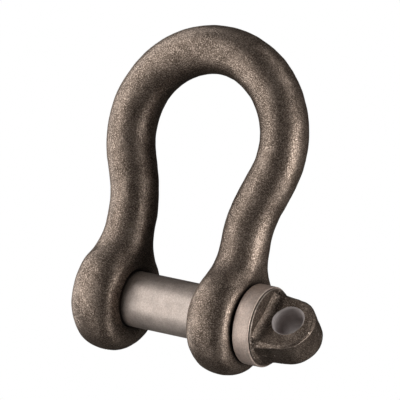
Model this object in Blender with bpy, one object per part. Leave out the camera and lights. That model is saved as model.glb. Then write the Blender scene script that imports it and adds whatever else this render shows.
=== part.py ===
"""Bow shackle with a screw collar pin, 19 mm (3/4 in) size. Metres, +Z up.

+X runs along the pin towards its eye head, +Z towards the crown of the bow, +Y through the bow's opening.
The origin is on the pin's axis, midway between the two ears.
"""

import math

import bmesh
import bpy
import numpy as np

# ---- driving dimensions ----------------------------------------------------------------------------------

STOCK = 0.0192  # diameter of the bow's round bar, and the thickness of its ears
PIN = 0.022  # diameter of the pin's shank, and the outer diameter of its thread
JAW = 0.0336  # clear width between the ears
BOW_INSIDE = 0.0498  # widest clear width inside the bow
INSIDE_LENGTH = 0.0812  # from the top of the pin to the inside of the crown
EAR_DIAMETER = 0.0438
FLARE_ANGLE = math.radians(21)  # how far the arms lean inwards below the widest point
FLARE_RADIUS = 0.044  # centreline radius where an arm straightens into its ear
NECK_RADIUS = 0.0128  # concave radius between an ear's rim and its arm
OUTER_EDGE = 0.0064  # how far the rounding of an ear's rim reaches into its outer face
INNER_EDGE = 0.0073  # and into its inner face
EAR_ROUNDNESS = 2.2  # exponent of that rounding, where 2 is an ellipse

THREAD_PITCH = 0.0025
THREAD_DEPTH = 0.0014
THREAD_GAP = 0.0003  # radial play between the two threads
THREAD_FLAT = 0.00027  # half width of the flat at the bottom of the pin's groove
EAR_THREAD_FLAT = 0.00035
THREAD_RUNOUT = 0.0012  # how far the pin's thread ends inside the ear's plain counterbore
PLAIN_BORE = 0.0232  # diameter of the untapped ear's bore
MOUTH_DEPTH = 0.0038  # plain counterbore where the shank enters the tapped ear
CHAMFER = 0.0008  # at the mouths of both bores

SEAT_PLAY = 0.0009  # between the collar and the untapped ear with the pin hand tight
COLLAR_DIAMETER = 0.0317
COLLAR_WIDTH = 0.0071
COLLAR_CHAMFER = 0.0005
FIT_GAP = 0.0003  # between solids that touch on the real object
PIN_TIP = 0.0014  # how far the pin's end stands out of the tapped ear
TIP_CHAMFER = 0.0018

SHOULDER_DIAMETER = 0.0304  # forged disc between the collar and the eye
SHOULDER_WIDTH = 0.0008
TAB_THICKNESS = 0.014
TAB_ROOT = 0.0242  # width of the eye tab where it leaves the shoulder
TAB_FILLET = 0.0034
TAB_EDGE = 0.0016
EYE_DIAMETER = 0.0232  # outer diameter of the rounded end of the tab
EYE_HOLE = 0.0118
EYE_CENTRE = 0.0548  # distance of the eye's centre from the origin
HEAD_TURN = math.radians(-31.5)  # how far the tab is turned out of the bow's own plane

RING_POINTS = 24
OUTLINE_POINTS = 1001  # on each stretch where the distance to an outline is measured
ROUND_POINTS = 48
PAST = 0.002  # how far a cutter reaches past the faces that it opens

# ---- sizes that follow -----------------------------------------------------------------------------------

STOCK_RADIUS = STOCK / 2
PIN_RADIUS = PIN / 2
EAR_RADIUS = EAR_DIAMETER / 2
EAR_X = JAW / 2 + STOCK_RADIUS  # middle of an ear's thickness
EAR_FACE = JAW / 2 + STOCK  # outer face of an ear
CROWN_RADIUS = BOW_INSIDE / 2 + STOCK_RADIUS
CROWN_Z = PIN_RADIUS + INSIDE_LENGTH + STOCK_RADIUS - CROWN_RADIUS
COLLAR_START = EAR_FACE + SEAT_PLAY
COLLAR_END = COLLAR_START + COLLAR_WIDTH
SHOULDER_START = COLLAR_END + FIT_GAP
TAB_START = SHOULDER_START + SHOULDER_WIDTH
EYE_RADIUS = EYE_DIAMETER / 2

# The arm's centreline, from the pin's axis up: straight, a flare arc, straight again, and the crown's arc.
FLARE_LINE = (
    CROWN_RADIUS * math.cos(FLARE_ANGLE) - FLARE_RADIUS * (1 - math.cos(FLARE_ANGLE)) - EAR_X
) / math.sin(FLARE_ANGLE)
FLARE_START = (
    CROWN_Z - (CROWN_RADIUS + FLARE_RADIUS) * math.sin(FLARE_ANGLE) - FLARE_LINE * math.cos(FLARE_ANGLE)
)
FLARE_END = FLARE_START + FLARE_RADIUS * FLARE_ANGLE
CROWN_START = FLARE_END + FLARE_LINE
CROWN_TOP = CROWN_START + CROWN_RADIUS * (math.pi / 2 + FLARE_ANGLE)

# The ear's outline is a circle, then a concave arc that is tangent to the circle and to the arm's side.
NECK_END = math.sqrt((EAR_RADIUS + NECK_RADIUS) ** 2 - (STOCK_RADIUS + NECK_RADIUS) ** 2)
NECK_START = NECK_END * EAR_RADIUS / (EAR_RADIUS + NECK_RADIUS)
ARM_START = max(NECK_END, FLARE_START) + NECK_RADIUS / 6


# ---- helpers ---------------------------------------------------------------------------------------------


def clear_scene():
    for obj in list(bpy.data.objects):
        bpy.data.objects.remove(obj, do_unlink=True)


def steel(name, colour, roughness, metallic):
    material = bpy.data.materials.new(name)
    material.use_nodes = True
    shader = material.node_tree.nodes["Principled BSDF"]
    shader.inputs["Base Color"].default_value = (*colour, 1)
    shader.inputs["Roughness"].default_value = roughness
    shader.inputs["Metallic"].default_value = metallic
    return material


def mesh_object(name, bm, material=None):
    bmesh.ops.recalc_face_normals(bm, faces=bm.faces)
    mesh = bpy.data.meshes.new(name)
    bm.to_mesh(mesh)
    bm.free()
    obj = bpy.data.objects.new(name, mesh)
    bpy.context.scene.collection.objects.link(obj)
    if material:
        mesh.materials.append(material)
    mesh.shade_smooth()
    mesh.set_sharp_from_angle(angle=math.radians(35))
    return obj


def boolean(obj, cutter, operation):
    modifier = obj.modifiers.new(cutter.name, "BOOLEAN")
    modifier.operation = operation
    modifier.solver = "EXACT"
    modifier.object = cutter
    cutter.hide_render = True
    cutter.display_type = "WIRE"


def skin(rings, start=None, end=None):
    """A closed bmesh through rings of equally many points; an end is a pole, or flat where none is given."""
    bm = bmesh.new()
    rows = [[bm.verts.new(point) for point in ring] for ring in rings]
    count = len(rows[0])
    for low, high in zip(rows, rows[1:]):
        for i in range(count):
            j = (i + 1) % count
            bm.faces.new((low[i], low[j], high[j], high[i]))
    for row, pole in ((rows[0], start), (rows[-1], end)):
        if pole is None:
            bm.faces.new(row)
            continue
        tip = bm.verts.new(pole)
        for i in range(count):
            bm.faces.new((row[i], row[(i + 1) % count], tip))
    return bm


def turned(name, profile, material=None, segments=ROUND_POINTS):
    """A solid turned about the X axis from (x, radius) points, with flat ends."""
    angles = [2 * math.pi * i / segments for i in range(segments)]
    rings = [[(x, r * math.cos(a), r * math.sin(a)) for a in angles] for x, r in profile]
    return mesh_object(name, skin(rings), material)


def helix_bar(name, start, turns, section, per_turn=ROUND_POINTS // 2):
    """A right-hand helical bar about the X axis, whose section is (x offset, radius) points."""
    rings = []
    for step in range(int(turns * per_turn) + 1):
        angle = 2 * math.pi * step / per_turn
        x = start + THREAD_PITCH * step / per_turn
        rings.append([(x + dx, r * math.cos(angle), r * math.sin(angle)) for dx, r in section])
    return mesh_object(name, skin(rings))


def smooth_step(value, low, high):
    t = min(max((value - low) / (high - low), 0), 1)
    return t * t * (3 - 2 * t)


def forged_ring(width, round_end, at, half_thickness, edges, roundness):
    """The section (y, n) at one place of a plate with the outline ±width(s), whose edges round off inwards.

    The plate keeps its full thickness further from its outline than edges, which holds one distance for the
    side at +n and one for the side at -n. With edges of half the width and a roundness of 2, the section is
    round. The plate's round end is (centre, radius), with a radius below zero where it lies at the low end.
    """
    turn = 2 * np.pi * np.arange(RING_POINTS) / RING_POINTS
    y = width(np.array([at]))[0] * np.cos(turn)
    beside = np.linspace(at - 3 * STOCK_RADIUS, at + 3 * STOCK_RADIUS, OUTLINE_POINTS)
    centre, radius = round_end
    reach = np.append(beside, centre + radius * np.cos(np.linspace(0, np.pi / 2, OUTLINE_POINTS)))
    side = width(reach)
    inside = side >= 0
    gap = np.hypot(at - reach[inside][None], np.abs(y)[:, None] - side[inside][None]).min(axis=1)
    edge = np.where(np.sin(turn) > 0, edges[0], edges[1])
    rise = np.clip(1 - gap / edge, 0, 1) ** roundness
    height = half_thickness * (1 - rise) ** (1 / roundness)
    return y, np.where(np.abs(np.sin(turn)) < 1e-6, 0, np.sign(np.sin(turn)) * height)


# ---- the bow ---------------------------------------------------------------------------------------------


def bow_width(s):
    """Half width of the bow's bar and ears in Y, at a distance s along its centreline; -1 is off the ear."""
    ear = np.where(s < -EAR_RADIUS, -1, np.sqrt(np.maximum(EAR_RADIUS**2 - s**2, 0)))
    dip = np.sqrt(np.maximum(NECK_RADIUS**2 - (NECK_END - s) ** 2, 0))
    arm = np.where(s < NECK_END, STOCK_RADIUS + NECK_RADIUS - dip, STOCK_RADIUS)
    return np.where(s < NECK_START, ear, arm)


def bow_centre(s):
    """(x, z, lean): the centreline and its lean outwards, at a distance s from the pin's axis."""
    if s <= FLARE_START:
        return EAR_X, s, 0
    if s <= FLARE_END:
        lean = (s - FLARE_START) / FLARE_RADIUS
        return EAR_X + FLARE_RADIUS * (1 - math.cos(lean)), FLARE_START + FLARE_RADIUS * math.sin(lean), lean
    if s <= CROWN_START:
        x, z, lean = bow_centre(FLARE_END)
        along = s - FLARE_END
        return x + along * math.sin(lean), z + along * math.cos(lean), lean
    lean = FLARE_ANGLE - (s - CROWN_START) / CROWN_RADIUS
    return CROWN_RADIUS * math.cos(lean), CROWN_Z - CROWN_RADIUS * math.sin(lean), lean


def bow_stations():
    """Where the sections of one half lie, from just above the bottom of the ear to the crown."""
    around_ear = math.pi - math.acos(NECK_START / EAR_RADIUS)
    rows = 15
    ear = [-EAR_RADIUS * math.cos(around_ear * i / rows) for i in range(1, rows)]
    spans = (
        (NECK_START, NECK_END, 5),
        (NECK_END, ARM_START, 1),
        (ARM_START, FLARE_END, 4),
        (FLARE_END, CROWN_START, 1),
        (CROWN_START, CROWN_TOP, 16),
    )
    return ear + [low + (high - low) * i / n for low, high, n in spans for i in range(n)] + [CROWN_TOP]


def bow_ring(s):
    arm = smooth_step(s, 0.6 * EAR_RADIUS, 1.35 * EAR_RADIUS)
    edges = [edge + (STOCK_RADIUS - edge) * arm for edge in (OUTER_EDGE, INNER_EDGE)]
    roundness = EAR_ROUNDNESS + (2 - EAR_ROUNDNESS) * arm
    x, z, lean = bow_centre(s)
    ys, ns = forged_ring(bow_width, (0, -EAR_RADIUS), s, STOCK_RADIUS, edges, roundness)
    return [(x + n * math.cos(lean), y, z - n * math.sin(lean)) for y, n in zip(ys, ns)]


def make_bow(material):
    right = [bow_ring(s) for s in bow_stations()]
    left = [[(-x, y, z) for x, y, z in ring] for ring in right]
    # The left half runs from the crown down, so that the rings follow one path from ear to ear.
    rings = right + left[-2::-1]
    bow = mesh_object(
        "bow", skin(rings, start=(EAR_X, 0, -EAR_RADIUS), end=(-EAR_X, 0, -EAR_RADIUS)), material
    )

    bore = PLAIN_BORE / 2
    lip = bore + CHAMFER
    inner = JAW / 2
    plain = turned(
        "plain_bore",
        (
            (inner - PAST, lip + PAST),
            (inner + CHAMFER, bore),
            (EAR_FACE - CHAMFER, bore),
            (EAR_FACE + PAST, lip + PAST),
        ),
    )
    minor = PIN_RADIUS - THREAD_DEPTH + THREAD_GAP
    tapped = turned(
        "tapped_bore",
        (
            (-EAR_FACE - PAST, lip + PAST),
            (-EAR_FACE + lip - minor, minor),
            (-inner - MOUTH_DEPTH - bore + minor, minor),
            (-inner - MOUTH_DEPTH, bore),
            (-inner - CHAMFER, bore),
            (-inner + PAST, lip + PAST),
        ),
    )
    boolean(bow, plain, "DIFFERENCE")
    boolean(bow, tapped, "DIFFERENCE")
    boolean(bow, thread_cutter("ear_thread", THREAD_PITCH / 2, inside=True), "DIFFERENCE")
    return bow


# ---- the thread ------------------------------------------------------------------------------------------


def thread_cutter(name, phase, inside):
    """The groove of a 60 degree thread: cut outwards into the ear, or inwards into the pin.

    Both start from the same place on the X axis, half a pitch apart, so that each ridge lies in a groove.
    """
    slope = math.tan(math.radians(30))
    start = -EAR_FACE - 2 * THREAD_PITCH + phase
    if inside:
        deep, shallow = PIN_RADIUS + THREAD_GAP, PIN_RADIUS - THREAD_DEPTH - THREAD_GAP
        flat = EAR_THREAD_FLAT
        turns = (-JAW / 2 - 0.5 * MOUTH_DEPTH - start) / THREAD_PITCH
    else:
        deep, shallow = PIN_RADIUS - THREAD_DEPTH, PIN_RADIUS + THREAD_GAP
        flat = THREAD_FLAT
        turns = (-JAW / 2 - MOUTH_DEPTH + THREAD_RUNOUT - start) / THREAD_PITCH
    mouth = flat + abs(deep - shallow) * slope
    section = ((-flat, deep), (flat, deep), (mouth, shallow), (-mouth, shallow))
    return helix_bar(name, start, turns, section)


# ---- the pin ---------------------------------------------------------------------------------------------


def make_collar(material):
    radius = COLLAR_DIAMETER / 2
    collar = turned(
        "pin_collar",
        (
            (COLLAR_START, radius - COLLAR_CHAMFER),
            (COLLAR_START + COLLAR_CHAMFER, radius),
            (COLLAR_END - COLLAR_CHAMFER, radius),
            (COLLAR_END, radius - COLLAR_CHAMFER),
        ),
        material,
    )
    hole = PIN_RADIUS + FIT_GAP
    cutter = turned("collar_hole", ((COLLAR_START - PAST, hole), (COLLAR_END + PAST, hole)))
    boolean(collar, cutter, "DIFFERENCE")
    return collar


def tab_width(x):
    """Half width of the eye tab at x: it narrows a little from the shoulder to the eye; -1 is off it."""
    along = x - EYE_CENTRE
    root = (TAB_ROOT / 2 - EYE_RADIUS) * (along / (TAB_START - EYE_CENTRE)) ** 2
    round_end = np.where(along > EYE_RADIUS, -1, np.sqrt(np.maximum(EYE_RADIUS**2 - along**2, 0)))
    return np.where(along < 0, EYE_RADIUS + root, round_end)


def tab_ring(x):
    half = TAB_THICKNESS / 2
    # A concave fillet thickens the tab where it leaves the shoulder.
    short = min(max(TAB_START + TAB_FILLET - x, 0), TAB_FILLET)
    half += TAB_FILLET - math.sqrt(TAB_FILLET**2 - short**2)
    ts, ns = forged_ring(tab_width, (EYE_CENTRE, EYE_RADIUS), x, half, (TAB_EDGE, TAB_EDGE), 2)
    return [(x, -n, t) for t, n in zip(ts, ns)]


def make_screw_pin(material):
    tip = -EAR_FACE - PIN_TIP
    shoulder = SHOULDER_DIAMETER / 2
    edge = 0.3 * SHOULDER_WIDTH
    pin = turned(
        "screw_pin",
        (
            (tip, PIN_RADIUS - TIP_CHAMFER),
            (tip + TIP_CHAMFER, PIN_RADIUS),
            (SHOULDER_START, PIN_RADIUS),
            (SHOULDER_START, shoulder - edge),
            (SHOULDER_START + edge, shoulder),
            (TAB_START - edge, shoulder),
            (TAB_START, shoulder - edge),
        ),
        material,
    )
    fillet = [TAB_START + TAB_FILLET * (1 - math.cos(math.pi / 2 * i / 4)) for i in range(4)]
    root = TAB_START + TAB_FILLET
    sides = [root + (EYE_CENTRE - root) * i / 3 for i in range(3)]
    nose = [EYE_CENTRE + EYE_RADIUS * math.sin(math.pi / 2 * i / 10) for i in range(10)]
    stations = [SHOULDER_START + 0.5 * SHOULDER_WIDTH] + fillet + sides + nose
    tab = mesh_object(
        "eye_tab", skin([tab_ring(x) for x in stations], end=(EYE_CENTRE + EYE_RADIUS, 0, 0))
    )
    tab.rotation_euler.x = HEAD_TURN

    half = TAB_THICKNESS / 2
    hole = EYE_HOLE / 2
    flare = hole + CHAMFER
    angles = [2 * math.pi * i / RING_POINTS for i in range(RING_POINTS)]
    deep = half - CHAMFER
    profile = ((-half - PAST, flare + PAST), (-deep, hole), (deep, hole), (half + PAST, flare + PAST))
    rings = [[(EYE_CENTRE + r * math.cos(a), y, r * math.sin(a)) for a in angles] for y, r in profile]
    eye = mesh_object("eye_hole", skin(rings))
    eye.rotation_euler.x = HEAD_TURN

    boolean(pin, tab, "UNION")
    boolean(pin, eye, "DIFFERENCE")
    boolean(pin, thread_cutter("pin_thread", 0, inside=False), "DIFFERENCE")
    return pin


# ---- the shackle -----------------------------------------------------------------------------------------

clear_scene()
forged = steel("forged_steel", (0.10, 0.082, 0.068), 0.5, 0.85)
machined = steel("machined_steel", (0.47, 0.43, 0.41), 0.3, 1.0)
make_bow(forged)
make_collar(machined)
make_screw_pin(machined)
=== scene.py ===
"""Looks of the bow shackle: a forged bow, a turned collar, and a screw pin with a forged eye head.

Metres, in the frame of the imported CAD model: +X along the pin towards its head, +Z towards the crown.
"""

import math

import bpy
import numpy as np
from mathutils import Matrix, Vector, noise


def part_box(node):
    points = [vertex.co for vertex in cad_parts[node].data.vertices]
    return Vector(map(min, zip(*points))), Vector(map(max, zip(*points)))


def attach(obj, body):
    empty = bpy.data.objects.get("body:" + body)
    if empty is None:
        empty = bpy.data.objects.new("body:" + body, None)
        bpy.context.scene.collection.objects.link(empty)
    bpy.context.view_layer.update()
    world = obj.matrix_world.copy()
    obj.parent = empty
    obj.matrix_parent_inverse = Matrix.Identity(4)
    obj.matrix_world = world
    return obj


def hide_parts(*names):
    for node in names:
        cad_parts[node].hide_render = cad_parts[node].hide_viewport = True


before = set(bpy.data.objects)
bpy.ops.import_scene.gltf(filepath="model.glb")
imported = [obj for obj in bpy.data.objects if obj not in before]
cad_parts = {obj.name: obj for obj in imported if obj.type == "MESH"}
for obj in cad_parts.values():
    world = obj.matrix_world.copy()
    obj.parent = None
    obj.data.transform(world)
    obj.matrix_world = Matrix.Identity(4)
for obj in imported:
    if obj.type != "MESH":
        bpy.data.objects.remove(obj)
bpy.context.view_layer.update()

# ---- sizes: the frame gives the outer ones, and the rest are the shackle's own -------------------

BOW_LOW, BOW_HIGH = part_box("bow")
COLLAR_LOW, COLLAR_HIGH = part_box("pin_collar")
PIN_LOW, PIN_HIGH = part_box("screw_pin")

STOCK_RADIUS = 0.0096  # round bar of the bow, and half of an ear's thickness
PIN_RADIUS = 0.011
EAR_RADIUS = -BOW_LOW.z
SEAT_PLAY = 0.0009  # between the collar and the plain ear
EAR_FACE = COLLAR_LOW.x - SEAT_PLAY  # outer face of an ear
EAR_X = EAR_FACE - STOCK_RADIUS
JAW_FACE = EAR_X - STOCK_RADIUS  # inner face of an ear
CROWN_RADIUS = BOW_HIGH.x - STOCK_RADIUS
CROWN_Z = BOW_HIGH.z - STOCK_RADIUS - CROWN_RADIUS
FLARE_ANGLE = math.radians(21)
FLARE_RADIUS = 0.044
NECK_RADIUS = 0.0128
OUTER_EDGE = 0.0064  # how far the rounding of an ear's rim reaches into its outer face
INNER_EDGE = 0.0073
EAR_ROUNDNESS = 2.2
ARM_FROM, ARM_FULL = 0.6, 1.35  # in ear radii: between them, the ear's section turns into the bar's

THREAD_PITCH = 0.0025
THREAD_DEPTH = 0.0014
THREAD_GAP = 0.0002
THREAD_RUNOUT = 0.0012  # how far the pin's thread runs on into the plain mouth of the tapped ear
THREAD_SLOPE = math.tan(math.radians(30))
EAR_THREAD_FLOOR = 0.00030  # half widths of the flat floors of the two grooves
PIN_THREAD_FLOOR = 0.00027
PLAIN_BORE = 0.0116  # radius of the untapped ear's bore
MOUTH_DEPTH = 0.0038
BORE_CHAMFER = 0.0011

COLLAR_RADIUS = COLLAR_HIGH.z
COLLAR_BEVEL = 0.00025
COLLAR_ROUNDING = 0.00018
COLLAR_PLAY = 0.00005  # between the collar's bore and the shank
SHOULDER_RADIUS = 0.0152
SHOULDER_EDGE = 0.0006
SHOULDER_START = COLLAR_HIGH.x + 0.00006  # just off the collar
SHOULDER_BACK = 0.009  # radius of the flat back of the shoulder's solid, inside the shank
TAB_START = COLLAR_HIGH.x + 0.0011  # where the tab leaves the shoulder
TAB_SUNK = COLLAR_HIGH.x + 0.0004  # where the tab and its root begin, inside the shoulder
SHANK_END = COLLAR_HIGH.x + 0.0005  # inside the shoulder too
TAB_HALF = 0.007
TAB_TAPER = math.tan(math.radians(4))  # the forging's draft, from the front face to the back face
TAB_BEVEL = 0.0008  # along the trimmed front edge
TAB_BEVEL_GROWTH = 0.9  # how much wider the bevel is near the root
TAB_BACK_EDGE = 0.0024
TAB_UPPER = 0.0129  # the tab's half widths where it leaves the shoulder
TAB_LOWER = 0.0136
ROOT_HEIGHT = 0.0093  # half height of the root, where its concave flank meets the shoulder
ROOT_REACH = 0.0037  # how far that flank runs along the tab
ROOT_UPPER = 0.0122  # the root's half widths
ROOT_LOWER = 0.0130
ROOT_FADE = 0.0016  # over which the root runs out at its two ends
ROOT_FLARE = 0.0034  # the length on which the tab's sides flare out to the shoulder
LIP = 0.0012  # radius of the bead along the top of that flank
EYE_RADIUS = 0.0117
EYE_X = PIN_HIGH.x - EYE_RADIUS
EYE_DROP = 0.0006  # how far the round end lies below the pin's axis, across the tab
EYE_HOLE = 0.0061  # radius under the front bevel
EYE_HOLE_BACK = 0.0053
HOLE_X = EYE_X + 0.0002
HOLE_RISE = 0.0005  # of the hole's centre above the pin's axis, across the tab
EYE_BEVEL = 0.0005
HEAD_TURN = math.radians(-31.5)
TIP_CHAMFER = 0.0018
TIP_ROUNDING = 0.0004
CENTRE_RADIUS = 0.0022  # of the lathe's centre hole in the pin's tip
CENTRE_DEPTH = 0.0019

# The noise that leaves a forging's skin uneven: its size, depth and seed, and for all of them its roughness,
# the step from one octave to the next, and the octaves.
BOW_WAVES = (0.016, 0.00022, 3.1)
BOW_DENTS = (0.0042, 0.00006, 9.4)
HEAD_DENTS = (0.006, 0.00012, 5.2)
DENT_NOISE = (0.7, 2.1, 3)

# How finely the shapes are divided.
OUTLINE_POINTS = 1401  # on each stretch where the distance to an outline is measured
BAR_SIDES = 112
BAR_STEP = 0.0010
EAR_ROWS = 60
TURNED_SIDES = 160
PIN_SIDES = 192
SHANK_ROWS = 40
THREAD_STEPS = 72  # in a turn
ARC_STEPS = 4  # in a rounded corner
TAB_ROWS = 40
EYE_STEPS = 60
BEAD_SIDES = 16
HEAD_VOXEL = 0.0002
HEAD_SOFTENING = 2
SHARP_ANGLE = math.radians(32)  # a sharper edge isn't shaded smooth
COLLAR_SHARP_ANGLE = math.radians(40)


# ---- mesh helpers --------------------------------------------------------------------------------


def mesh_object(name, points, faces, material):
    mesh = bpy.data.meshes.new(name)
    mesh.from_pydata([tuple(p) for p in points], [], faces)
    mesh.validate()
    mesh.materials.append(material)
    mesh.shade_smooth()
    obj = bpy.data.objects.new(name, mesh)
    bpy.context.scene.collection.objects.link(obj)
    return obj


def skin(rings, start=None, end=None, closed=False):
    """(points, faces) of a surface through rings of equally many points.

    An end runs to a pole, or is a flat face. A closed skin has no ends: its last ring runs on into its first.
    """
    rings = [np.asarray(ring, float) for ring in rings]
    count = len(rings[0])
    points = np.concatenate(rings)
    faces = []
    for row in range(len(rings) if closed else len(rings) - 1):
        low, high = row * count, (row + 1) % len(rings) * count
        faces += [(low + i, low + (i + 1) % count, high + (i + 1) % count, high + i) for i in range(count)]
    if closed:
        return points, faces
    last = (len(rings) - 1) * count
    for base, pole, turn in ((0, start, -1), (last, end, 1)):
        loop = [base + i for i in range(count)][::turn]
        if pole is None:
            faces.append(tuple(loop))
            continue
        points = np.concatenate([points, [pole]])
        faces += [(loop[i], loop[(i + 1) % count], len(points) - 1) for i in range(count)]
    return points, faces


def facing_out(points, faces):
    """The faces, turned round if they face inwards."""
    volume = 0.0
    for face in faces:
        a = points[face[0]]
        for b, c in zip(face[1:], face[2:]):
            volume += np.dot(a, np.cross(points[b], points[c]))
    return faces if volume > 0 else [face[::-1] for face in faces]


def circles(profile, sides=TURNED_SIDES):
    """Rings about the X axis through (x, radius) points."""
    angles = 2 * np.pi * np.arange(sides) / sides
    return [np.stack([np.full(sides, x), r * np.cos(angles), r * np.sin(angles)], 1) for x, r in profile]


def turned(name, profile, material, sides=TURNED_SIDES):
    """A solid turned about the X axis from (x, radius) points."""
    points, faces = skin(circles(profile, sides))
    return mesh_object(name, points, facing_out(points, faces), material)


def rounded(profile, radius):
    """The profile with each inner corner replaced by a small arc, drawn as a quadratic curve."""
    path = [np.array(p, float) for p in profile]
    out = [path[0]]
    for before, corner, after in zip(path, path[1:], path[2:]):
        to_before, to_after = before - corner, after - corner
        reach = min(radius, 0.45 * np.linalg.norm(to_before), 0.45 * np.linalg.norm(to_after))
        start = corner + to_before / np.linalg.norm(to_before) * reach
        stop = corner + to_after / np.linalg.norm(to_after) * reach
        for t in np.arange(ARC_STEPS + 1) / ARC_STEPS:
            out.append((1 - t) ** 2 * start + 2 * t * (1 - t) * corner + t**2 * stop)
    return out + [path[-1]]


def helix_bar(name, start, turns, section, material):
    """A right-hand helical bar about the X axis, whose section is (x offset, radius) points."""
    rings = []
    for step in range(int(turns * THREAD_STEPS) + 1):
        angle = 2 * math.pi * step / THREAD_STEPS
        x = start + THREAD_PITCH * step / THREAD_STEPS
        rings.append([(x + dx, r * math.cos(angle), r * math.sin(angle)) for dx, r in section])
    points, faces = skin(rings)
    return mesh_object(name, points, facing_out(points, faces), material)


def cut(obj, *cutters):
    """Takes the cutters out of obj. The cut faces keep the cutter's material."""
    for cutter in cutters:
        modifier = obj.modifiers.new(cutter.name, "BOOLEAN")
        modifier.operation = "DIFFERENCE"
        modifier.solver = "EXACT"
        modifier.material_mode = "TRANSFER"
        modifier.object = cutter
    graph = bpy.context.evaluated_depsgraph_get()
    mesh = bpy.data.meshes.new_from_object(obj.evaluated_get(graph))
    obj.modifiers.clear()
    obj.data = mesh
    for cutter in cutters:
        bpy.data.objects.remove(cutter)
    mesh.shade_smooth()
    mesh.set_sharp_from_angle(angle=SHARP_ANGLE)


def smooth_step(value, low, high):
    """0 below low, 1 above high, and an even curve between them."""
    t = np.clip((value - low) / (high - low), 0, 1)
    return t * t * (3 - 2 * t)


def forged_ring(width, round_end, at, half_thickness, edges, roundness):
    """The section (y, n) of a plate at one place of its outline, ±width(s), with edges that round off.

    The outline's round end is (its centre, its radius along s). An edge is rounded over the length in edges.
    """
    turn = 2 * np.pi * np.arange(BAR_SIDES) / BAR_SIDES
    y = width(np.array([at]))[0] * np.cos(turn)
    beside = np.linspace(at - 3 * STOCK_RADIUS, at + 3 * STOCK_RADIUS, OUTLINE_POINTS)
    centre, radius = round_end
    reach = np.append(beside, centre + radius * np.cos(np.linspace(0, np.pi / 2, OUTLINE_POINTS)))
    side = width(reach)
    inside = side >= 0
    gap = np.hypot(at - reach[inside][None], np.abs(y)[:, None] - side[inside][None]).min(axis=1)
    edge = np.where(np.sin(turn) > 0, edges[0], edges[1])
    rise = np.clip(1 - gap / edge, 0, 1) ** roundness
    height = half_thickness * (1 - rise) ** (1 / roundness)
    return y, np.where(np.abs(np.sin(turn)) < 1e-6, 0, np.sign(np.sin(turn)) * height)


def hammered(points, faces, size, depth, seed):
    """The points moved along their normals by smooth noise, as a forging's skin is never quite even."""
    normals = np.zeros_like(points)
    for face in faces:
        a, b, c = points[face[0]], points[face[1]], points[face[-1]]
        normal = np.cross(b - a, c - a)
        for i in face:
            normals[i] += normal
    normals /= np.maximum(np.linalg.norm(normals, axis=1), 1e-20)[:, None]
    offset = Vector((seed, 2.7 * seed, 0))
    moved = np.array([noise.fractal(Vector(p) / size + offset, *DENT_NOISE) for p in points])
    return points + normals * (depth * moved)[:, None]


# ---- node helpers --------------------------------------------------------------------------------


def opaque(colour):
    """A plain (r, g, b) colour with its alpha. Sockets and single values stay as they are."""
    return (*colour, 1) if isinstance(colour, tuple) else colour


class Nodes:
    """A material's node tree, with short calls for the nodes used here."""

    def __init__(self, name):
        self.material = bpy.data.materials.new(name)
        self.material.use_nodes = True
        self.tree = self.material.node_tree
        self.shader = self.tree.nodes["Principled BSDF"]
        self.where = self.add("ShaderNodeTexCoord").outputs["Object"]

    def add(self, kind, **settings):
        node = self.tree.nodes.new(kind)
        for key, value in settings.items():
            setattr(node, key, value)
        return node

    def plug(self, value, socket):
        if isinstance(value, bpy.types.NodeSocket):
            self.tree.links.new(value, socket)
        else:
            socket.default_value = value

    def noise(self, scale, detail=2.0, roughness=0.5, distortion=0.0, where=None):
        node = self.add("ShaderNodeTexNoise")
        self.plug(self.where if where is None else where, node.inputs["Vector"])
        node.inputs["Scale"].default_value = scale
        node.inputs["Detail"].default_value = detail
        node.inputs["Roughness"].default_value = roughness
        node.inputs["Distortion"].default_value = distortion
        return node.outputs["Fac"]

    def cells(self, scale):
        node = self.add("ShaderNodeTexVoronoi")
        self.plug(self.where, node.inputs["Vector"])
        node.inputs["Scale"].default_value = scale
        return node.outputs["Distance"]

    def mapped(self, scale=(1, 1, 1), rotation=(0, 0, 0), where=None):
        node = self.add("ShaderNodeMapping")
        self.plug(self.where if where is None else where, node.inputs["Vector"])
        node.inputs["Scale"].default_value = scale
        node.inputs["Rotation"].default_value = rotation
        return node.outputs["Vector"]

    def ramp(self, value, *stops):
        """Values or colours over positions, as (position, value) pairs."""
        node = self.add("ShaderNodeValToRGB")
        self.plug(value, node.inputs["Fac"])
        ramp = node.color_ramp
        while len(ramp.elements) < len(stops):
            ramp.elements.new(0.5)
        for element, (position, colour) in zip(ramp.elements, stops):
            element.position = position
            element.color = opaque(colour if isinstance(colour, tuple) else (colour, colour, colour))
        return node.outputs["Color"]

    def math(self, operation, a, b):
        node = self.add("ShaderNodeMath", operation=operation)
        self.plug(a, node.inputs[0])
        self.plug(b, node.inputs[1])
        return node.outputs[0]

    def mix(self, factor, a, b, blend="MIX"):
        node = self.add("ShaderNodeMix", data_type="RGBA", blend_type=blend)
        self.plug(factor, node.inputs[0])
        self.plug(opaque(a), node.inputs[6])
        self.plug(opaque(b), node.inputs[7])
        return node.outputs[2]

    def painted_shade(self, colour, reach, closed, free):
        """The colour darkened where other metal stands within reach of the surface, found by an ambient
        occlusion node: painted shade.
        """
        occlusion = self.add("ShaderNodeAmbientOcclusion", samples=8)
        occlusion.inputs["Distance"].default_value = reach
        shade_amount = self.ramp(occlusion.outputs["AO"], (closed, 0.9), (free, 0.0))
        return self.mix(shade_amount, colour, SHADE_DARK)

    def bump(self, height, distance, strength=1.0, normal=None):
        node = self.add("ShaderNodeBump")
        node.inputs["Strength"].default_value = strength
        node.inputs["Distance"].default_value = distance
        self.plug(height, node.inputs["Height"])
        if normal is not None:
            self.plug(normal, node.inputs["Normal"])
        return node.outputs["Normal"]
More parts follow.
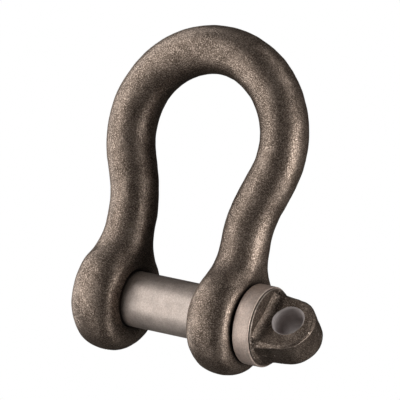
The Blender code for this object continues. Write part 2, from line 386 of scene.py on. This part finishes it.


# Colours of the forged skin, from its pits to its worn edges, which also give a painted highlight, with the
# painted shade of its creases, and the dark that painted shade mixes in.
PIT = (0.045, 0.032, 0.024)
CREASE_SHADE = (0.040, 0.030, 0.024)
SCALE_DARK = (0.092, 0.066, 0.048)
SCALE_BROWN = (0.163, 0.121, 0.093)
SCALE_TAN = (0.283, 0.221, 0.177)
BLASTED = (0.63, 0.503, 0.414)
WORN_AND_HIGHLIGHT = (0.62, 0.520, 0.450)
# The dark that painted shade mixes into a colour.
SHADE_DARK = (0.030, 0.023, 0.018)

# Texture scales are in features per metre, and bump heights in metres.
GRAIN = 2100
HAMMER_MARKS = 420
SCALE_PATCHES = 110
LATHE_RINGS = 9000
LATHE_WAVER = 60  # the same rings along their own length, as for the bands and the drill's rings
TURNED_BANDS = 1500
BAND_WAVER = 25
SPECKLES = 1900
STAINS = 170
DRILL_RINGS = 2600
DRILL_WAVER = 90
HOLE_STAINS = 400
FORGED_BUMP = 0.00007
LATHE_BUMP = 0.000012
DRILL_BUMP = 0.00004


def forged_steel(name, wear_and_highlight, shade_darkening):
    """Self-coloured forging: dark brown scale blasted to a fine bright grain. Wear brightens its edges, which
    also paints a highlight along them; painted shade darkens its creases, its sheltered places and, for a
    shaded copy, all of it.
    """
    n = Nodes(name)
    grain = n.noise(GRAIN, 2, 0.75)
    patch = n.noise(SCALE_PATCHES, 6, 0.68, 0.6)
    base = n.ramp(patch, (0.32, SCALE_DARK), (0.52, SCALE_BROWN), (0.70, SCALE_TAN))
    light = n.ramp(grain, (0.50, 0.0), (0.66, 1.0))
    colour = n.mix(n.math("MULTIPLY", light, 0.8), base, BLASTED)
    pits = n.ramp(grain, (0.32, 1.0), (0.44, 0.0))
    colour = n.mix(n.math("MULTIPLY", pits, 0.75), colour, PIT)
    # Painted shade: the whole colour darkened by this amount, which makes the head's copy of the forged steel
    # a shaded one.
    colour = n.mix(shade_darkening, colour, SHADE_DARK)
    # Painted shade, far and near, where other metal stands close to the surface.
    colour = n.painted_shade(colour, reach=0.05, closed=0.25, free=0.70)
    colour = n.painted_shade(colour, reach=0.005, closed=0.45, free=0.90)
    edge = n.add("ShaderNodeNewGeometry").outputs["Pointiness"]
    # Painted shade: creases, where pointiness is low, are darkened.
    colour = n.mix(n.ramp(edge, (0.40, 0.8), (0.48, 0.0)), colour, CREASE_SHADE)
    # Worn edges, where pointiness is high, are brightened: partly real wear, partly a painted highlight along
    # the edges.
    colour = n.mix(n.ramp(edge, (0.515, 0.0), (0.56, wear_and_highlight)), colour, WORN_AND_HIGHLIGHT)
    n.plug(colour, n.shader.inputs["Base Color"])
    n.plug(n.ramp(grain, (0.35, 0.53), (0.65, 0.37)), n.shader.inputs["Roughness"])
    n.shader.inputs["Metallic"].default_value = 0.85
    coarse = n.bump(n.noise(HAMMER_MARKS, 3, 0.6), FORGED_BUMP, 0.7)
    rough = n.math("ADD", grain, n.math("MULTIPLY", n.cells(GRAIN), 0.5))
    n.plug(n.bump(rough, FORGED_BUMP, 0.9, coarse), n.shader.inputs["Normal"])
    return n.material


def lathe_marks(n):
    """Noise in fine rings round the X axis, which go on across the end faces."""
    radius = n.add("ShaderNodeVectorMath", operation="LENGTH")
    n.plug(n.mapped((0, LATHE_RINGS, LATHE_RINGS)), radius.inputs[0])
    outwards = n.add("ShaderNodeCombineXYZ")
    n.plug(radius.outputs["Value"], outwards.inputs["X"])
    turning = n.add("ShaderNodeVectorMath", operation="ADD")
    n.plug(n.mapped((LATHE_RINGS, LATHE_WAVER, LATHE_WAVER)), turning.inputs[0])
    n.plug(outwards.outputs["Vector"], turning.inputs[1])
    return n.noise(1.0, 2, 0.6, where=turning.outputs["Vector"])


def turned_steel(name, metal, dark, pale):
    """Lathe-turned steel: fine rings, wider bands, faint stains and specks."""
    n = Nodes(name)
    rings = lathe_marks(n)
    bands = n.noise(1.0, 2, 0.5, where=n.mapped((TURNED_BANDS, BAND_WAVER, BAND_WAVER)))
    stain = n.noise(STAINS, 5, 0.65)
    tint = n.ramp(stain, (0.35, dark), (0.60, pale))
    tint = n.mix(n.ramp(n.noise(SPECKLES, 2, 0.7), (0.40, 0.5), (0.62, 0.0)), tint, dark, "MULTIPLY")
    tint = n.mix(n.math("MULTIPLY", bands, 0.3), tint, pale, "SCREEN")
    # Painted shade where other metal stands close, as at the ears' faces.
    n.plug(n.painted_shade(tint, reach=0.005, closed=0.35, free=0.60), n.shader.inputs["Base Color"])
    n.plug(n.ramp(n.mix(0.5, rings, stain), (0.3, 0.40), (0.7, 0.52)), n.shader.inputs["Roughness"])
    n.shader.inputs["Metallic"].default_value = metal
    n.plug(n.bump(n.mix(0.4, rings, bands), LATHE_BUMP, 0.8), n.shader.inputs["Normal"])
    return n.material


def drilled_steel(name, scale, dark, pale):
    """The dull wall of a drilled hole, with rings across the direction in which the scale is large."""
    n = Nodes(name)
    head_upright = n.mapped(rotation=(-HEAD_TURN, 0, 0))
    rings = n.noise(1.0, 3, 0.6, where=n.mapped(scale, where=head_upright))
    stain = n.noise(HOLE_STAINS, 4, 0.6)
    n.plug(n.ramp(n.mix(0.5, rings, stain), (0.35, dark), (0.65, pale)), n.shader.inputs["Base Color"])
    n.plug(n.ramp(stain, (0.3, 0.70), (0.7, 0.85)), n.shader.inputs["Roughness"])
    n.plug(n.bump(rings, DRILL_BUMP, 0.6), n.shader.inputs["Normal"])
    return n.material


BOW_STEEL = forged_steel("bow_steel", 0.0, 0.0)
# The head's forged steel is a shaded copy: its overall darkening is painted shade, and its edges carry wear
# with a painted highlight.
HEAD_STEEL = forged_steel("head_steel", 1.0, 0.25)
SHANK_STEEL = turned_steel("shank_steel", 0.75, (0.56, 0.474, 0.420), (0.71, 0.608, 0.542))
# A darkened copy of the turned steel for the pin's tip: painted shade on the end face, which a lamp lights
# head-on.
TIP_STEEL_PAINTED_SHADE = turned_steel("tip_steel_painted_shade", 0.3, (0.10, 0.080, 0.066), (0.17, 0.138, 0.117))
COLLAR_STEEL = turned_steel("collar_steel", 0.65, (0.525, 0.423, 0.363), (0.78, 0.627, 0.538))
ALONG_EYE = (DRILL_WAVER, DRILL_RINGS, DRILL_WAVER)
ALONG_BORE = (DRILL_RINGS, DRILL_WAVER, DRILL_WAVER)
# The eye's wall: its colour is raised to stand in for the light that falls short inside the hole, partly
# painted light.
EYE_STEEL_PAINTED_LIGHT = drilled_steel("eye_steel_painted_light", ALONG_EYE, (0.40, 0.350, 0.335), (0.60, 0.535, 0.515))
BORE_STEEL = drilled_steel("bore_steel", ALONG_BORE, (0.035, 0.027, 0.022), (0.10, 0.080, 0.066))


# ---- the bow -------------------------------------------------------------------------------------

# Places along the centreline of one half, from the pin's axis to the crown: a straight leg, an arc in which
# it starts to lean outwards, a straight line of the length FLARE_LINE, and the arc of the crown.
FLARE_LINE = (
    CROWN_RADIUS * math.cos(FLARE_ANGLE) - FLARE_RADIUS * (1 - math.cos(FLARE_ANGLE)) - EAR_X
) / math.sin(FLARE_ANGLE)
FLARE_START = (
    CROWN_Z - (CROWN_RADIUS + FLARE_RADIUS) * math.sin(FLARE_ANGLE) - FLARE_LINE * math.cos(FLARE_ANGLE)
)
FLARE_END = FLARE_START + FLARE_RADIUS * FLARE_ANGLE
CROWN_START = FLARE_END + FLARE_LINE
CROWN_TOP = CROWN_START + CROWN_RADIUS * (math.pi / 2 + FLARE_ANGLE)
NECK_END = math.sqrt((EAR_RADIUS + NECK_RADIUS) ** 2 - (STOCK_RADIUS + NECK_RADIUS) ** 2)
NECK_START = NECK_END * EAR_RADIUS / (EAR_RADIUS + NECK_RADIUS)


def bow_width(s):
    """Half width of the bow in Y, at a distance s along its centreline. It is -1 beyond the ear."""
    ear = np.where(s < -EAR_RADIUS, -1, np.sqrt(np.maximum(EAR_RADIUS**2 - s**2, 0)))
    dip = np.sqrt(np.maximum(NECK_RADIUS**2 - (NECK_END - s) ** 2, 0))
    neck = np.where(s < NECK_END, STOCK_RADIUS + NECK_RADIUS - dip, STOCK_RADIUS)
    return np.where(s < NECK_START, ear, neck)


def bow_centre(s):
    """(x, z, lean): the centreline and its lean outwards, at a distance s from the pin's axis."""
    if s <= FLARE_START:
        return EAR_X, s, 0
    if s <= FLARE_END:
        lean = (s - FLARE_START) / FLARE_RADIUS
        return EAR_X + FLARE_RADIUS * (1 - math.cos(lean)), FLARE_START + FLARE_RADIUS * math.sin(lean), lean
    if s <= CROWN_START:
        x, z, lean = bow_centre(FLARE_END)
        along = s - FLARE_END
        return x + along * math.sin(lean), z + along * math.cos(lean), lean
    lean = FLARE_ANGLE - (s - CROWN_START) / CROWN_RADIUS
    return CROWN_RADIUS * math.cos(lean), CROWN_Z - CROWN_RADIUS * math.sin(lean), lean


def bow_ring(s):
    arm = smooth_step(s, ARM_FROM * EAR_RADIUS, ARM_FULL * EAR_RADIUS)
    edges = [edge + (STOCK_RADIUS - edge) * arm for edge in (OUTER_EDGE, INNER_EDGE)]
    roundness = EAR_ROUNDNESS + (2 - EAR_ROUNDNESS) * arm
    x, z, lean = bow_centre(s)
    y, n = forged_ring(bow_width, (0, -EAR_RADIUS), s, STOCK_RADIUS, edges, roundness)
    return np.stack([x + n * math.cos(lean), y, z - n * math.sin(lean)], 1)


def bow_stations():
    """Where the sections of one half lie, from just above the bottom of the ear to the crown."""
    neck_angle = math.acos(NECK_START / EAR_RADIUS)
    turn = math.pi - neck_angle
    ear = [EAR_RADIUS * math.cos(math.pi - turn * i / EAR_ROWS) for i in range(1, EAR_ROWS)]
    length = CROWN_TOP - NECK_START
    rows = int(length / BAR_STEP)
    return ear + [NECK_START + length * i / rows for i in range(rows + 1)]


def thread_section(inside):
    """The section of a 60 degree thread's groove: cut outwards into the ear, or inwards into the pin."""
    crest, root = PIN_RADIUS + THREAD_GAP, PIN_RADIUS - THREAD_DEPTH
    deep, shallow = (crest, root - THREAD_GAP) if inside else (root, crest)
    floor = EAR_THREAD_FLOOR if inside else PIN_THREAD_FLOOR
    mouth = floor + abs(deep - shallow) * THREAD_SLOPE
    return ((-floor, deep), (floor, deep), (mouth, shallow), (-mouth, shallow))


def thread_cutter(name, inside, end, material):
    """The helical groove of the ear or the pin. They lie half a pitch apart, so that ridges meet grooves."""
    start = -EAR_FACE - 2 * THREAD_PITCH + (THREAD_PITCH / 2 if inside else 0)
    return helix_bar(name, start, (end - start) / THREAD_PITCH, thread_section(inside), material)


def bore_cutters():
    """The right ear's plain bore, and the left ear's tapped one, which has a plain mouth towards the jaw."""
    lip = PLAIN_BORE + BORE_CHAMFER
    past = 0.002  # how far a cutter stands out of the ear
    minor = PIN_RADIUS - THREAD_DEPTH + THREAD_GAP
    mouth = -JAW_FACE - MOUTH_DEPTH
    plain = (
        (JAW_FACE - past, lip + past),
        (JAW_FACE + BORE_CHAMFER, PLAIN_BORE),
        (EAR_FACE - BORE_CHAMFER, PLAIN_BORE),
        (EAR_FACE + past, lip + past),
    )
    tapped = (
        (-EAR_FACE - past, lip + past),
        (-EAR_FACE + lip - minor, minor),
        (mouth - PLAIN_BORE + minor, minor),
        (mouth, PLAIN_BORE),
        (-JAW_FACE - BORE_CHAMFER, PLAIN_BORE),
        (-JAW_FACE + past, lip + past),
    )
    return (
        turned("plain_bore", plain, BORE_STEEL),
        turned("tapped_bore", tapped, BORE_STEEL),
        thread_cutter("ear_thread", True, -JAW_FACE - MOUTH_DEPTH / 2, BORE_STEEL),
    )


def make_bow():
    right = [bow_ring(s) for s in bow_stations()]
    left = [ring * (-1, 1, 1) for ring in right]
    points, faces = skin(right + left[-2::-1], (EAR_X, 0, -EAR_RADIUS), (-EAR_X, 0, -EAR_RADIUS))
    faces = facing_out(points, faces)
    points = hammered(points, faces, *BOW_WAVES)
    points = hammered(points, faces, *BOW_DENTS)
    bow = mesh_object("bow_forging", points, faces, BOW_STEEL)
    cut(bow, *bore_cutters())
    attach(bow, "bow")
    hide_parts("bow")


# ---- the pin -------------------------------------------------------------------------------------


def make_collar():
    low, high = COLLAR_LOW.x, COLLAR_HIGH.x
    bore = PIN_RADIUS + COLLAR_PLAY
    profile = (
        (low, bore),
        (low, COLLAR_RADIUS - COLLAR_BEVEL),
        (low + COLLAR_BEVEL, COLLAR_RADIUS),
        (high - COLLAR_BEVEL, COLLAR_RADIUS),
        (high, COLLAR_RADIUS - COLLAR_BEVEL),
        (high, bore),
    )
    points, faces = skin(circles(rounded(profile, COLLAR_ROUNDING), PIN_SIDES), closed=True)
    collar = mesh_object("collar_ring", points, facing_out(points, faces), COLLAR_STEEL)
    collar.data.set_sharp_from_angle(angle=COLLAR_SHARP_ANGLE)
    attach(collar, "collar")
    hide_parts("pin_collar")


def shank_profile():
    """The tip with its centre hole and chamfer, then even rows, which keep the reflections straight."""
    tip = PIN_LOW.x
    corners = (
        (tip + CENTRE_DEPTH, CENTRE_RADIUS / 8),
        (tip, CENTRE_RADIUS),
        (tip, PIN_RADIUS - TIP_CHAMFER),
        (tip + TIP_CHAMFER, PIN_RADIUS),
        (SHANK_END, PIN_RADIUS),
    )
    tip_end = rounded(corners, TIP_ROUNDING)[:-1]
    rows = np.linspace(tip_end[-1][0], SHANK_END, SHANK_ROWS)[1:]
    return tip_end + [np.array([x, PIN_RADIUS]) for x in rows]


def make_shank():
    shank = turned("pin_shank", shank_profile(), SHANK_STEEL, PIN_SIDES)
    # The tip's end face and centre hole take the darkened copy: painted shade.
    shank.data.materials.append(TIP_STEEL_PAINTED_SHADE)
    for polygon in shank.data.polygons:
        in_hole = polygon.center.yz.length < CENTRE_RADIUS
        polygon.material_index = int(in_hole or polygon.center.x < PIN_LOW.x + TIP_ROUNDING)
    cut(shank, thread_cutter("pin_thread", False, -JAW_FACE - MOUTH_DEPTH + THREAD_RUNOUT, SHANK_STEEL))
    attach(shank, "pin")
    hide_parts("screw_pin")


def tab_inset(x, h):
    """How far the tab's side lies inside its widest outline, at x and h above its middle plane."""
    near_root = 1 - smooth_step(x, TAB_START + ROOT_REACH, EYE_X)
    bevel = TAB_BEVEL * (1 + TAB_BEVEL_GROWTH * near_root)
    round_off = np.clip(TAB_BACK_EDGE - TAB_HALF - h, 0, TAB_BACK_EDGE)
    back = TAB_BACK_EDGE - math.sqrt(TAB_BACK_EDGE**2 - round_off**2)
    return (TAB_HALF - h) * TAB_TAPER + max(h - TAB_HALF + bevel, 0) + back


def tab_outline(h):
    """The tab's outline (x, t) at the height h: two straight sides that run into the eye's round end."""
    radius = EYE_RADIUS - tab_inset(EYE_X, h)
    within_shoulder = math.sqrt((SHOULDER_RADIUS - SHOULDER_EDGE / 2) ** 2 - h * h)
    sides, turns = [], []
    for side, half_width in ((-1, TAB_LOWER), (1, TAB_UPPER)):
        start = np.array([TAB_START - EYE_X, side * half_width + EYE_DROP])
        turn = math.atan2(start[1], start[0]) - side * math.acos(EYE_RADIUS / np.hypot(*start))
        meet = (EYE_X + EYE_RADIUS * math.cos(turn), EYE_RADIUS * math.sin(turn) - EYE_DROP)
        slope = (meet[1] - side * half_width) / (meet[0] - TAB_START)
        spread = max(within_shoulder - half_width + tab_inset(TAB_START, h), 0)
        points = []
        for x in np.linspace(TAB_SUNK, meet[0], TAB_ROWS)[:-1]:
            short = np.clip(1 - (x - TAB_START) / ROOT_FLARE, 0, 1)
            flare = spread * (1 - math.sqrt(1 - short**2))
            widest = half_width + side * slope * (x - TAB_START)
            points.append((x, side * min(widest + flare - tab_inset(x, h), within_shoulder)))
        sides.append(points)
        turns.append(turn)
    angles = np.linspace(turns[0], turns[1], EYE_STEPS)
    end = [(EYE_X + radius * math.cos(a), radius * math.sin(a) - EYE_DROP) for a in angles]
    return sides[0] + end + sides[1][::-1]


def head_tab():
    """The flat tab, with its rows close together round the back edge and along the front bevel."""
    levels = list(np.linspace(-TAB_HALF, -TAB_HALF + TAB_BACK_EDGE, 9)[:-1])
    levels += list(np.linspace(-TAB_HALF + TAB_BACK_EDGE, TAB_HALF - 2 * TAB_BEVEL, 6)[:-1])
    levels += list(np.linspace(TAB_HALF - 2 * TAB_BEVEL, TAB_HALF, 7))
    return skin([[(x, -h, t) for x, t in tab_outline(h)] for h in levels])


def head_root():
    """The tab's thick root: its flanks run down from the shoulder to the tab's faces in a concave arc."""
    drop = ROOT_HEIGHT - TAB_HALF
    radius = (ROOT_REACH**2 + drop**2) / (2 * drop)
    bottom = TAB_START + ROOT_REACH
    flank = []
    for x in np.linspace(TAB_START, bottom, 12):
        flank.append((x, TAB_HALF + radius - math.sqrt(radius**2 - (bottom - x) ** 2)))
    rings = []
    for t in np.linspace(-ROOT_LOWER, ROOT_UPPER, 41):
        top = math.sqrt((SHOULDER_RADIUS - SHOULDER_EDGE) ** 2 - t * t)
        end = ROOT_UPPER if t > 0 else ROOT_LOWER
        fade = 1.01 - smooth_step(abs(t), end - ROOT_FADE, end)  # never 0, so no faces fall together
        front = [(TAB_SUNK, ROOT_HEIGHT)] + flank
        profile = [(x, min(h * fade, top)) for x, h in front]
        profile += [(x, -h) for x, h in profile[::-1]]
        rings.append([(x, -h, t) for x, h in profile])
    return skin(rings)


def head_lip(side):
    """A rounded bead where a flank of the root meets the shoulder. It runs out at both ends."""
    length = math.sqrt((SHOULDER_RADIUS - SHOULDER_EDGE) ** 2 - ROOT_HEIGHT**2)
    angles = 2 * np.pi * np.arange(BEAD_SIDES) / BEAD_SIDES
    rings = []
    for t in np.linspace(-length, length, 33):
        radius = LIP * (1.02 - smooth_step(abs(t), length - 3 * LIP, length))
        x = TAB_START - 0.7 * LIP + radius * np.cos(angles)
        y = -side * (ROOT_HEIGHT - LIP / 2 + radius * np.sin(angles))
        rings.append(np.stack([x, y, np.full(BEAD_SIDES, t)], 1))
    return skin(rings)


def head_shoulder():
    """The round shoulder between the collar and the tab. Its face slopes a little outside the root."""
    profile = (
        (SHOULDER_START, SHOULDER_BACK),
        (SHOULDER_START, SHOULDER_RADIUS - SHOULDER_EDGE),
        (SHOULDER_START + SHOULDER_EDGE / 2, SHOULDER_RADIUS),
        (TAB_START - SHOULDER_EDGE / 2, SHOULDER_RADIUS),
        (TAB_START, ROOT_HEIGHT),
        (TAB_START, 0.001),
    )
    return skin(circles(rounded(profile, SHOULDER_EDGE)))


def joined(*shapes):
    """(points, faces) of all the shapes together."""
    points, faces = [], []
    for shape_points, shape_faces in shapes:
        start = len(points)
        faces += [tuple(start + i for i in face) for face in facing_out(shape_points, shape_faces)]
        points += [tuple(p) for p in shape_points]
    return points, faces


def fused(obj):
    """Joins the overlapping shapes of obj into one skin, and softens the creases where they meet."""
    remesh = obj.modifiers.new("fuse", "REMESH")
    remesh.mode = "VOXEL"
    remesh.voxel_size = HEAD_VOXEL
    soften = obj.modifiers.new("soften", "SMOOTH")
    soften.factor = 0.5
    soften.iterations = HEAD_SOFTENING
    graph = bpy.context.evaluated_depsgraph_get()
    mesh = bpy.data.meshes.new_from_object(obj.evaluated_get(graph))
    obj.modifiers.clear()
    obj.data = mesh


def eye_cutter():
    """The eye's hole, which narrows towards the back and has a bevel at the front."""
    past = 0.001  # how far the cutter stands out of the tab
    profile = (
        (-TAB_HALF - past, EYE_HOLE_BACK),
        (TAB_HALF - EYE_BEVEL, EYE_HOLE),
        (TAB_HALF + past, EYE_HOLE + EYE_BEVEL + past),
    )
    hole = turned("eye_hole", profile, EYE_STEEL_PAINTED_LIGHT)
    hole.data.transform(Matrix.Translation((HOLE_X, 0, HOLE_RISE)) @ Matrix.Rotation(-math.pi / 2, 4, "Z"))
    return hole


def make_head():
    shapes = joined(head_shoulder(), head_root(), head_tab(), head_lip(1), head_lip(-1))
    head = mesh_object("eye_head", *shapes, HEAD_STEEL)
    fused(head)
    points = np.array([v.co for v in head.data.vertices])
    faces = [tuple(polygon.vertices) for polygon in head.data.polygons]
    head.data.vertices.foreach_set("co", hammered(points, faces, *HEAD_DENTS).ravel())
    cut(head, eye_cutter())
    head.data.transform(Matrix.Rotation(HEAD_TURN, 4, "X"))
    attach(head, "pin")
    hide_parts("screw_pin")


make_bow()
make_collar()
make_shank()
make_head()

# ---- floor, light and camera ---------------------------------------------------------------------

VIEW_AZIMUTH = math.radians(30.6)
VIEW_ELEVATION = math.radians(1.2)
VIEW_ROLL = math.radians(11.35)
VIEW_DISTANCE = 2.05
VIEW_LENS = 473  # mm, and so is the sensor's width
SENSOR_WIDTH = 36
VIEW_ASIDE = 0.0105  # how far the middle of the picture lies to the right of the origin, and above it
VIEW_ABOVE = 0.0416

FLOOR_REACH = 6.0
FLOOR_GAP = 0.0004  # between the floor and the ears
SEEN = 1.0  # how bright the floor and the backdrop are to the camera
ROOM = 0.02  # how bright the unlit room is round the object

LIGHT_DISTANCE = 0.8
SOFTBOX_SIDE = 0.30
BANK_STEP = 20  # degrees between the softboxes of a bank
LIGHT_CENTRE = Vector((0, 0, 0.045))

# Columns of softboxes: degrees right of the camera, lowest and highest elevation, and watts in all.
LIGHT_BANKS = (
    ("left_rim", -120, -20, 40, 3.6),
    ("left_key", -80, -20, 40, 2.9),
    ("left_front", -60, -40, 40, 1.4),
    ("left_edge", -40, -20, 20, 0.33),
    ("left_top", -140, 60, 60, 0.55),
    ("left_low", -80, -60, -60, 0.23),
    ("right_front", 40, -20, 20, 0.58),
    ("right_key", 60, -20, 0, 3.8),
    ("right_low", 60, -60, -60, 0.74),
    ("right_high", 70, 40, 60, 0.85),
)

# The camera's axes: back from the object towards it, and its right and its top in the tilted picture.
BACK = Vector(
    (
        math.sin(VIEW_AZIMUTH) * math.cos(VIEW_ELEVATION),
        -math.cos(VIEW_AZIMUTH) * math.cos(VIEW_ELEVATION),
        math.sin(VIEW_ELEVATION),
    )
)
LEVEL_RIGHT = Vector((math.cos(VIEW_AZIMUTH), math.sin(VIEW_AZIMUTH), 0))
LEVEL_UP = BACK.cross(LEVEL_RIGHT)
RIGHT = math.cos(VIEW_ROLL) * LEVEL_RIGHT + math.sin(VIEW_ROLL) * LEVEL_UP
UP = math.cos(VIEW_ROLL) * LEVEL_UP - math.sin(VIEW_ROLL) * LEVEL_RIGHT


def make_camera():
    data = bpy.data.cameras.new("camera")
    data.lens = VIEW_LENS
    data.sensor_width = SENSOR_WIDTH
    camera = bpy.data.objects.new("camera", data)
    bpy.context.scene.collection.objects.link(camera)
    place = BACK * VIEW_DISTANCE
    back = (place - RIGHT * VIEW_ASIDE - UP * VIEW_ABOVE).normalized()
    right = UP.cross(back).normalized()
    axes = Matrix((right, back.cross(right), back)).transposed()
    camera.matrix_world = Matrix.Translation(place) @ axes.to_4x4()
    bpy.context.scene.camera = camera


def make_floor():
    """A pale floor for the camera's eye, which neither takes a shadow nor throws light back at the object."""
    material = bpy.data.materials.new("floor")
    material.use_nodes = True
    tree = material.node_tree
    tree.nodes.clear()
    pale = tree.nodes.new("ShaderNodeEmission")
    pale.inputs["Color"].default_value = (SEEN, SEEN, SEEN, 1)
    out = tree.nodes.new("ShaderNodeOutputMaterial")
    tree.links.new(pale.outputs[0], out.inputs["Surface"])

    z = BOW_LOW.z - FLOOR_GAP
    corners = [(x * FLOOR_REACH, y * FLOOR_REACH, z) for x, y in ((-1, -1), (1, -1), (1, 1), (-1, 1))]
    floor = mesh_object("floor", corners, [(0, 1, 2, 3)], material)
    floor.visible_shadow = False
    floor.visible_diffuse = False
    floor.visible_glossy = False


def make_world():
    """A backdrop that is pale to the camera, in a room that is dark to the object."""
    world = bpy.data.worlds.new("studio")
    bpy.context.scene.world = world
    world.use_nodes = True
    tree = world.node_tree
    tree.nodes.clear()
    out = tree.nodes.new("ShaderNodeOutputWorld")
    mix = tree.nodes.new("ShaderNodeMixShader")
    path = tree.nodes.new("ShaderNodeLightPath")
    tree.links.new(path.outputs["Is Camera Ray"], mix.inputs[0])
    tree.links.new(mix.outputs[0], out.inputs["Surface"])
    for socket, brightness in ((mix.inputs[1], ROOM), (mix.inputs[2], SEEN)):
        background = tree.nodes.new("ShaderNodeBackground")
        background.inputs["Color"].default_value = (brightness, brightness, brightness, 1)
        tree.links.new(background.outputs[0], socket)


def light_bank(name, azimuth, low, high, power):
    """A column of square softboxes between two elevations, azimuth degrees to the right of the camera."""
    elevations = range(low, high + 1, BANK_STEP)
    for elevation in elevations:
        around, up = math.radians(azimuth), math.radians(elevation)
        level = RIGHT * math.sin(around) + BACK * math.cos(around)
        direction = level * math.cos(up) + UP * math.sin(up)
        data = bpy.data.lights.new(name, "AREA")
        data.shape = "SQUARE"
        data.size = SOFTBOX_SIDE
        data.energy = power / len(elevations)
        light = bpy.data.objects.new(name, data)
        bpy.context.scene.collection.objects.link(light)
        light.location = LIGHT_CENTRE + direction * LIGHT_DISTANCE
        light.rotation_euler = direction.to_track_quat("Z", "Y").to_euler()


make_floor()
make_world()
for bank in LIGHT_BANKS:
    light_bank(*bank)
make_camera()

scene = bpy.context.scene
scene.view_settings.view_transform = "Standard"
scene.view_settings.look = "None"
